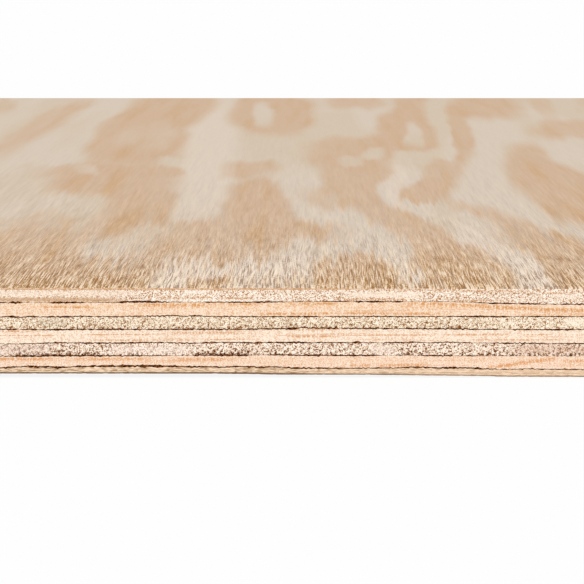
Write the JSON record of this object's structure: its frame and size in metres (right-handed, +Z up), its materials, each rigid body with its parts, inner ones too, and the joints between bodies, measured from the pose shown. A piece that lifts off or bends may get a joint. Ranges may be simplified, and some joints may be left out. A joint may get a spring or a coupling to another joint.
{
  "type": "plywood sheet",
  "caption": "Flat rectangular sheet of softwood plywood: cross-laid veneers with dark glue lines between them, sawn square on all edges.",
  "frame": {"origin": "middle of the underside of the sheet", "axes": "+X across the sheet's width, +Y along its length and the face grain, +Z up through its thickness, out of the better face"},
  "size_m": [1.22, 2.44, 0.018],
  "materials": {
    "face_veneer": "rotary-cut softwood, matt, tan and cream figure along the sheet",
    "crossband": "sawn long grain, smooth, warm peach",
    "center": "sawn end grain, rough, pale",
    "back_veneer": "rotary-cut softwood, matt, greyish tan, judged from its edge",
    "glue_line": "cured dark brown resin glue"
  },
  "bodies": {
    "root": {"face_veneer": "face_veneer", "upper_crossband": "crossband", "upper_center": "center", "middle_crossband": "crossband", "lower_center": "center", "lower_crossband": "crossband", "back_veneer": "back_veneer", "glue_line_1": "glue_line", "glue_line_2": "glue_line", "glue_line_3": "glue_line", "glue_line_4": "glue_line", "glue_line_5": "glue_line", "glue_line_6": "glue_line"}
  },
  "joints": []
}
